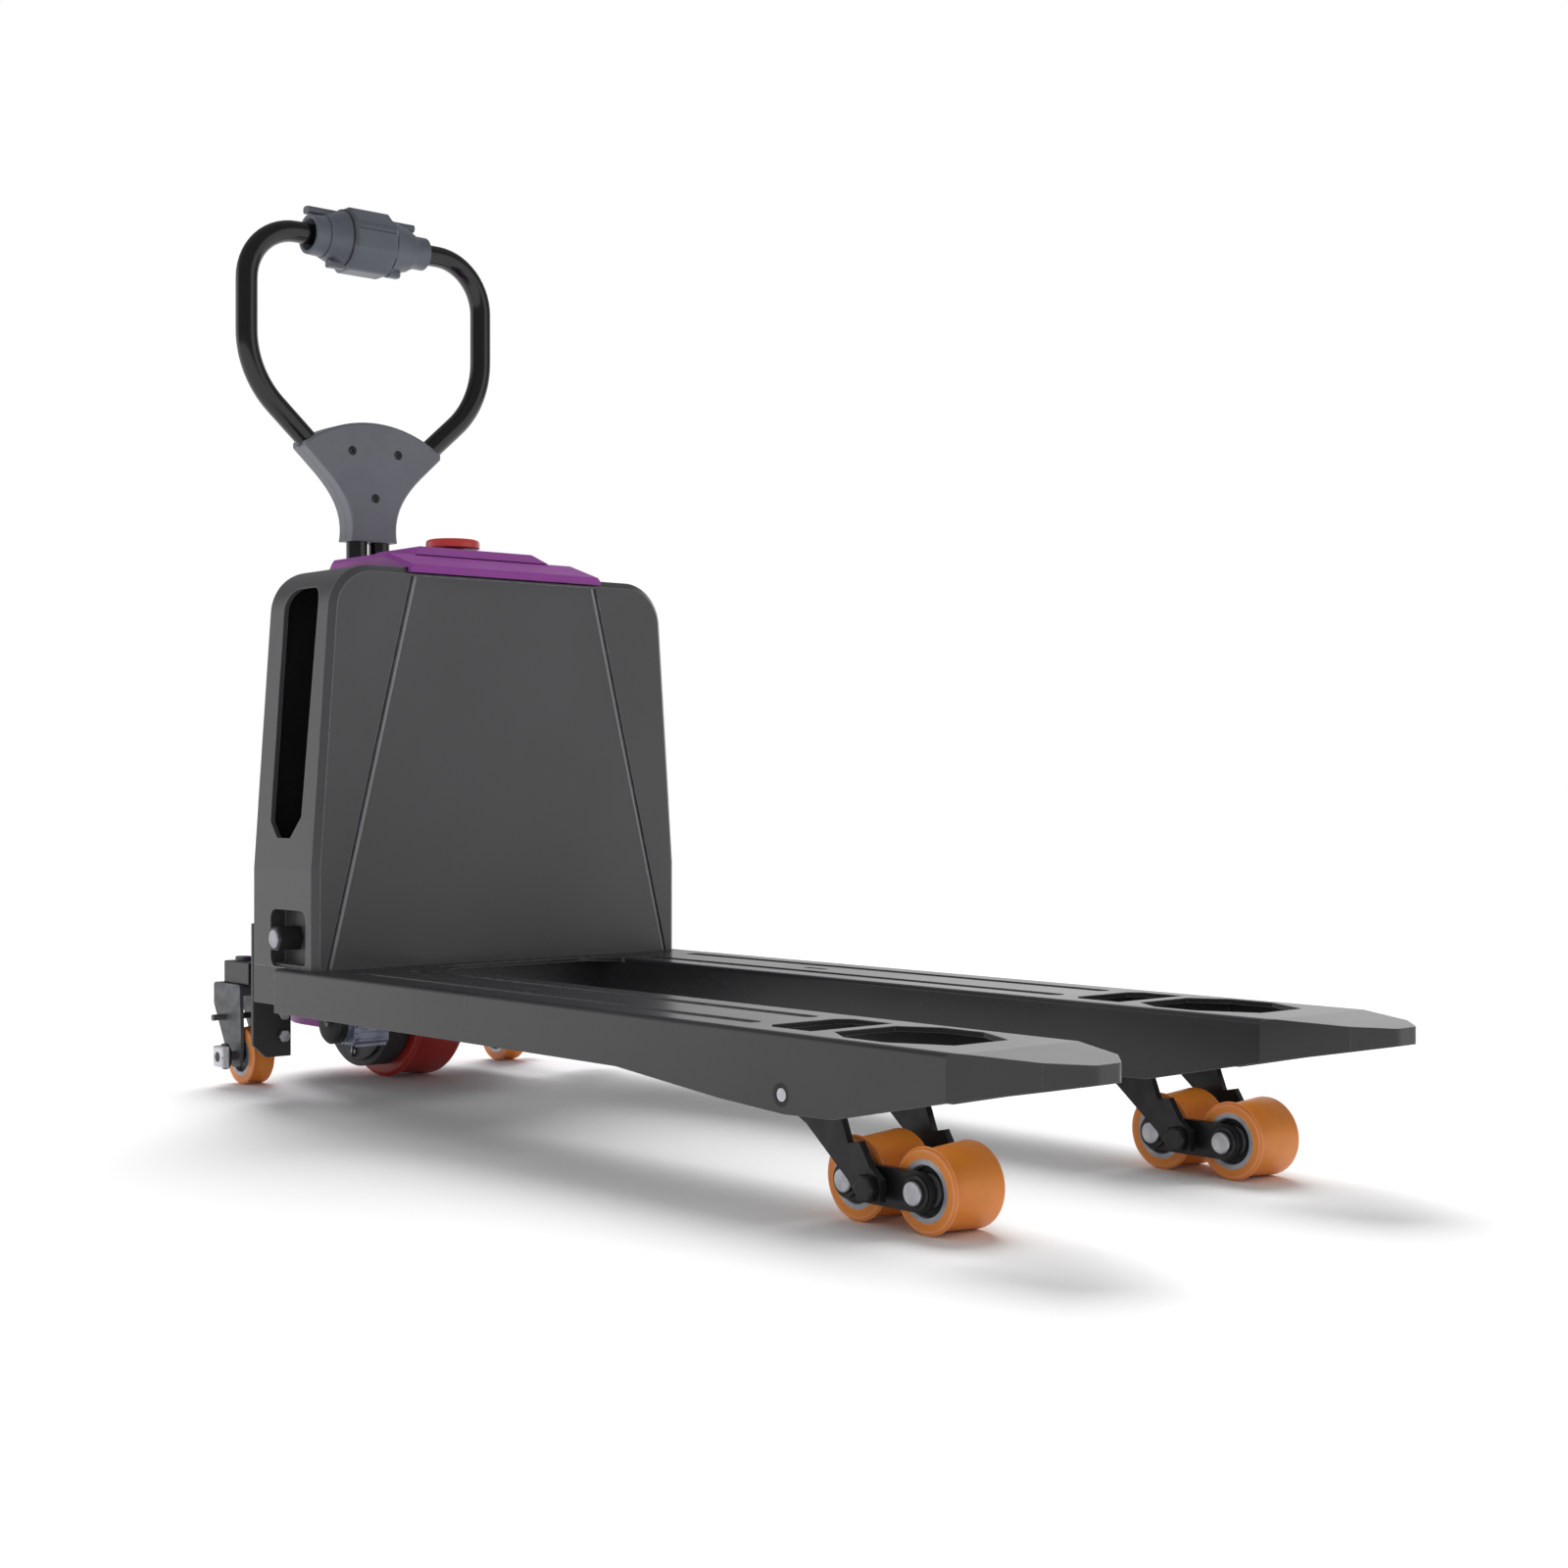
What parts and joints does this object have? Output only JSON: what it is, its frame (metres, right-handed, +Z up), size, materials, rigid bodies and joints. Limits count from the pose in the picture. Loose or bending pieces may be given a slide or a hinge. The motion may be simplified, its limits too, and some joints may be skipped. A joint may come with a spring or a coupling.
{
  "type": "electric pallet truck",
  "caption": "Low-lift electric pallet truck with raised forks, loop tiller, boxy chassis, steered drive wheel and tandem load wheels on coupled link arms.",
  "frame": {"origin": "on the floor under the middle of the overall box", "axes": "+X to the fork tips, +Y to the left, +Z up"},
  "size_m": [1.55, 0.56, 1.1476],
  "materials": {
    "black_steel": "satin black powder coat",
    "bare_steel": "bright zinc",
    "bearing_steel": "machined",
    "yoke_steel": "grey zinc flake",
    "purple_plastic": "moulded satin",
    "grey_plastic": "textured",
    "black_plastic": "textured",
    "red_plastic": "gloss",
    "cast_grey": "painted casting",
    "pump_aluminium": "die cast",
    "red_tyre": "polyurethane",
    "orange_tyre": "polyurethane",
    "hub_steel": "zinc plated"
  },
  "bodies": {
    "fork_frame": {"fork_left": "black_steel", "fork_right": "black_steel", "link_pins": "bare_steel", "heel_frame": "black_steel", "chassis_shell": "black_steel", "front_panel": "black_steel", "side_knobs": "black_plastic", "rear_covers": "black_steel", "guide_rails": "black_steel", "battery_packs": "black_plastic", "lift_rod": "bare_steel", "top_cover": "purple_plastic"},
    "estop": {"estop_button": "red_plastic"},
    "drive_base": {"base_plate": "black_steel", "tab_bolts": "bare_steel", "slide_blocks": "bearing_steel", "bridge_plate": "black_steel", "base_brackets": "black_steel", "steering_bearing": "bearing_steel", "lift_cylinder": "bearing_steel", "pump_unit": "pump_aluminium", "drive_cowl": "purple_plastic", "caster_arms": "black_steel"},
    "drive_unit": {"gearbox": "cast_grey", "gearbox_cover": "cast_grey", "turntable": "black_steel", "traction_motor": "cast_grey"},
    "drive_wheel": {"drive_tyre": "red_tyre", "drive_rim": "cast_grey"},
    "tiller": {"tiller_tube": "black_steel", "tiller_socket": "black_steel", "head_front": "grey_plastic", "head_rear": "grey_plastic", "head_screws": "bare_steel", "grip_body": "grey_plastic", "grip_ends": "grey_plastic"},
    "throttle": {"throttle_levers": "grey_plastic"},
    "lift_key": {"lift_button": "black_plastic"},
    "lower_key": {"lower_button": "black_plastic"},
    "horn_key": {"horn_button": "black_plastic"},
    "caster_swivel_left": {"caster_yoke_left": "yoke_steel"},
    "caster_wheel_left": {"caster_tyre_left": "orange_tyre", "caster_hub_left": "hub_steel"},
    "link_left": {"link_arm_left": "black_steel"},
    "bogie_left": {"rocker_left": "black_steel", "rocker_pins_left": "bare_steel"},
    "load_wheel_rear_left": {"load_tyre_rear_left": "orange_tyre", "load_hub_rear_left": "hub_steel"},
    "load_wheel_front_left": {"load_tyre_front_left": "orange_tyre", "load_hub_front_left": "hub_steel"},
    "caster_swivel_right": {"caster_yoke_right": "yoke_steel"},
    "caster_wheel_right": {"caster_tyre_right": "orange_tyre", "caster_hub_right": "hub_steel"},
    "link_right": {"link_arm_right": "black_steel"},
    "bogie_right": {"rocker_right": "black_steel", "rocker_pins_right": "bare_steel"},
    "load_wheel_rear_right": {"load_tyre_rear_right": "orange_tyre", "load_hub_rear_right": "hub_steel"},
    "load_wheel_front_right": {"load_tyre_front_right": "orange_tyre", "load_hub_front_right": "hub_steel"}
  },
  "joints": [
    {"name": "lift", "type": "slide", "parent": "fork_frame", "child": "drive_base", "axis": [0, 0, 1], "range_m": [0, 0.08]},
    {"name": "estop_press", "type": "slide", "parent": "fork_frame", "child": "estop", "axis": [0, 0, -1], "range_m": [0, 0.006]},
    {"name": "steer", "type": "hinge", "parent": "drive_base", "child": "drive_unit", "pos_m": [-0.615, 0, 0.23], "axis": [0, 0, 1], "range_deg": [-90, 90]},
    {"name": "drive_spin", "type": "hinge", "parent": "drive_unit", "child": "drive_wheel", "pos_m": [-0.615, 0, 0.105], "axis": [0, 1, 0], "continuous": true},
    {"name": "tiller_tilt", "type": "hinge", "parent": "drive_unit", "child": "tiller", "pos_m": [-0.705, 0, 0.3], "axis": [0, -1, 0], "range_deg": [0, 80], "stiffness_Nm_per_rad": 60, "springref_deg": -11.46},
    {"name": "throttle_twist", "type": "hinge", "parent": "tiller", "child": "throttle", "pos_m": [-0.705, 0, 1.106], "axis": [0, 1, 0], "range_deg": [-25, 25], "stiffness_Nm_per_rad": 1.5},
    {"name": "lift_key_press", "type": "slide", "parent": "tiller", "child": "lift_key", "axis": [1, 0, 0], "range_m": [0, 0.003], "stiffness_N_per_m": 500},
    {"name": "lower_key_press", "type": "slide", "parent": "tiller", "child": "lower_key", "axis": [1, 0, 0], "range_m": [0, 0.003], "stiffness_N_per_m": 500},
    {"name": "horn_key_press", "type": "slide", "parent": "tiller", "child": "horn_key", "axis": [1, 0, 0], "range_m": [0, 0.003], "stiffness_N_per_m": 500},
    {"name": "caster_turn_left", "type": "hinge", "parent": "drive_base", "child": "caster_swivel_left", "pos_m": [-0.687, 0.193, 0.14], "axis": [0, 0, 1], "continuous": true},
    {"name": "caster_spin_left", "type": "hinge", "parent": "caster_swivel_left", "child": "caster_wheel_left", "pos_m": [-0.667, 0.193, 0.037], "axis": [0, 1, 0], "continuous": true},
    {"name": "link_swing_left", "type": "hinge", "parent": "fork_frame", "child": "link_left", "pos_m": [0.465, 0.205, 0.1095], "axis": [0, -1, 0], "range_deg": [0, 42.75]},
    {"name": "bogie_level_left", "type": "hinge", "parent": "link_left", "child": "bogie_left", "pos_m": [0.555, 0.205, 0.038], "axis": [0, 1, 0], "range_deg": [0, 42.75]},
    {"name": "load_spin_rear_left", "type": "hinge", "parent": "bogie_left", "child": "load_wheel_rear_left", "pos_m": [0.512, 0.205, 0.038], "axis": [0, 1, 0], "continuous": true},
    {"name": "load_spin_front_left", "type": "hinge", "parent": "bogie_left", "child": "load_wheel_front_left", "pos_m": [0.598, 0.205, 0.038], "axis": [0, 1, 0], "continuous": true},
    {"name": "caster_turn_right", "type": "hinge", "parent": "drive_base", "child": "caster_swivel_right", "pos_m": [-0.687, -0.193, 0.14], "axis": [0, 0, 1], "continuous": true},
    {"name": "caster_spin_right", "type": "hinge", "parent": "caster_swivel_right", "child": "caster_wheel_right", "pos_m": [-0.667, -0.193, 0.037], "axis": [0, 1, 0], "continuous": true},
    {"name": "link_swing_right", "type": "hinge", "parent": "fork_frame", "child": "link_right", "pos_m": [0.465, -0.205, 0.1095], "axis": [0, -1, 0], "range_deg": [0, 42.75]},
    {"name": "bogie_level_right", "type": "hinge", "parent": "link_right", "child": "bogie_right", "pos_m": [0.555, -0.205, 0.038], "axis": [0, 1, 0], "range_deg": [0, 42.75]},
    {"name": "load_spin_rear_right", "type": "hinge", "parent": "bogie_right", "child": "load_wheel_rear_right", "pos_m": [0.512, -0.205, 0.038], "axis": [0, 1, 0], "continuous": true},
    {"name": "load_spin_front_right", "type": "hinge", "parent": "bogie_right", "child": "load_wheel_front_right", "pos_m": [0.598, -0.205, 0.038], "axis": [0, 1, 0], "continuous": true}
  ],
  "couplings": [
    {"joint": "link_swing_left", "follows": "lift", "rad_per_m": 9.31},
    {"joint": "bogie_level_left", "follows": "lift", "rad_per_m": 9.31},
    {"joint": "link_swing_right", "follows": "lift", "rad_per_m": 9.31},
    {"joint": "bogie_level_right", "follows": "lift", "rad_per_m": 9.31}
  ]
}
